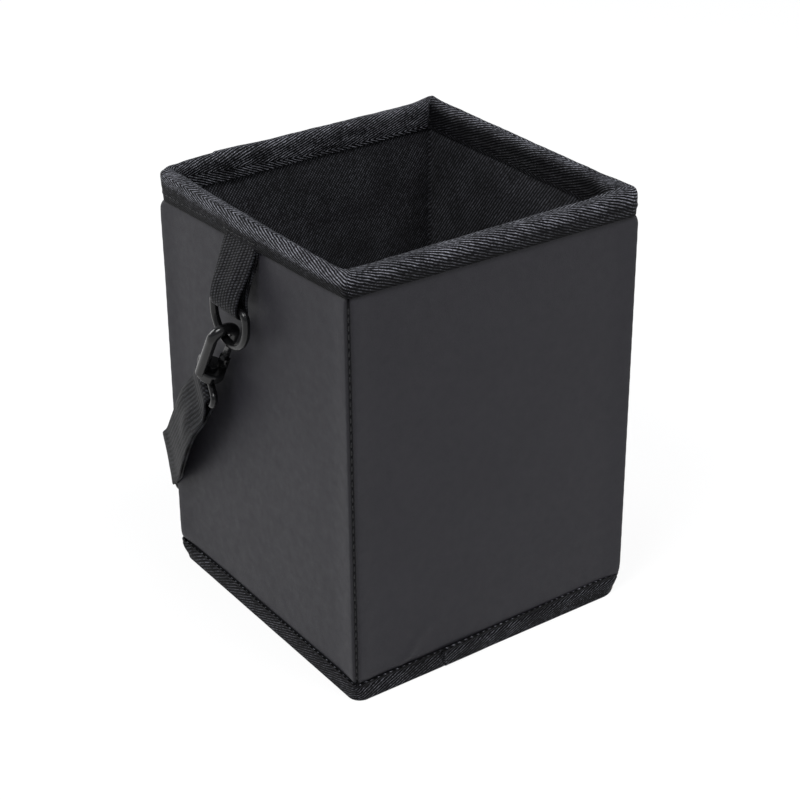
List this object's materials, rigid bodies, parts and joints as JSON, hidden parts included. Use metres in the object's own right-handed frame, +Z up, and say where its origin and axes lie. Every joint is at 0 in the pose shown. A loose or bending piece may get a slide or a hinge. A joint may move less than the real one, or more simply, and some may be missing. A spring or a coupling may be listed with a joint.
{
  "type": "car trash bin",
  "caption": "Square open-topped bin for a car, with leatherette walls, tape-bound edges and a webbing strap on snap hooks.",
  "frame": {"origin": "middle of the base, on its underside", "axes": "+Z up, the front wall faces -Y, the left wall faces -X"},
  "size_m": [0.1822, 0.169, 0.2],
  "materials": {
    "leatherette": "matte",
    "stiffener_board": "matte",
    "woven_lining": "woven",
    "twill_tape": "twill",
    "thread": "twisted",
    "webbing": "woven",
    "hard_plastic": "satin",
    "slider_plastic": "satin"
  },
  "bodies": {
    "bin": {"front_cover": "leatherette", "back_cover": "leatherette", "left_cover": "leatherette", "right_cover": "leatherette", "front_board": "stiffener_board", "back_board": "stiffener_board", "left_board": "stiffener_board", "right_board": "stiffener_board", "front_lining": "woven_lining", "back_lining": "woven_lining", "left_lining": "woven_lining", "right_lining": "woven_lining", "base_cover": "leatherette", "base_board": "stiffener_board", "base_lining": "woven_lining", "rim_tape": "twill_tape", "base_tape": "twill_tape", "front_left_stitching": "thread", "front_right_stitching": "thread", "back_right_stitching": "thread", "back_left_stitching": "thread", "left_tab": "webbing", "right_tab": "webbing", "strap": "webbing"},
    "left_ring": {"left_ring": "hard_plastic"},
    "left_hook": {"left_hook": "hard_plastic"},
    "left_gate": {"left_gate": "hard_plastic"},
    "left_swivel": {"left_swivel": "hard_plastic"},
    "right_ring": {"right_ring": "hard_plastic"},
    "right_hook": {"right_hook": "hard_plastic"},
    "right_gate": {"right_gate": "hard_plastic"},
    "right_swivel": {"right_swivel": "hard_plastic"},
    "slider": {"slider": "slider_plastic"}
  },
  "joints": [
    {"name": "left_ring_swing", "type": "hinge", "parent": "bin", "child": "left_ring", "pos_m": [-0.0832, 0.0027, 0.1628], "axis": [0, 1, 0], "range_deg": [-0.5, 30], "deforming": ["strap"]},
    {"name": "left_hook_swing", "type": "hinge", "parent": "left_ring", "child": "left_hook", "pos_m": [-0.0832, 0.0027, 0.1573], "axis": [1, 0, 0], "range_deg": [-20, 12], "deforming": ["strap"]},
    {"name": "left_gate_open", "type": "hinge", "parent": "left_hook", "child": "left_gate", "pos_m": [-0.0778, 0.01883, 0.12937], "axis": [0, -0.866, -0.5], "range_deg": [0, 22], "stiffness_Nm_per_rad": 0.02, "springref_deg": -17.19},
    {"name": "left_swivel_turn", "type": "hinge", "parent": "left_hook", "child": "left_swivel", "pos_m": [-0.0832, 0.00923, 0.146], "axis": [0, -0.5, 0.866], "range_deg": [-15, 20], "deforming": ["strap"]},
    {"name": "right_ring_swing", "type": "hinge", "parent": "bin", "child": "right_ring", "pos_m": [0.0832, 0.0027, 0.1628], "axis": [0, -1, 0], "range_deg": [-0.5, 30], "deforming": ["strap"]},
    {"name": "right_hook_swing", "type": "hinge", "parent": "right_ring", "child": "right_hook", "pos_m": [0.0832, 0.0027, 0.1573], "axis": [1, 0, 0], "range_deg": [-20, 12], "deforming": ["strap"]},
    {"name": "right_gate_open", "type": "hinge", "parent": "right_hook", "child": "right_gate", "pos_m": [0.0778, 0.02255, 0.13189], "axis": [0, 0.788, 0.6157], "range_deg": [0, 22], "stiffness_Nm_per_rad": 0.02, "springref_deg": -17.19},
    {"name": "right_swivel_turn", "type": "hinge", "parent": "right_hook", "child": "right_swivel", "pos_m": [0.0832, 0.01073, 0.14702], "axis": [0, -0.6157, 0.788], "range_deg": [-20, 15], "deforming": ["strap"]},
    {"name": "slider_slide", "type": "slide", "parent": "bin", "child": "slider", "axis": [0.9966, 0.0199, -0.0797], "range_m": [0, 0.03], "deforming": ["strap"]}
  ]
}
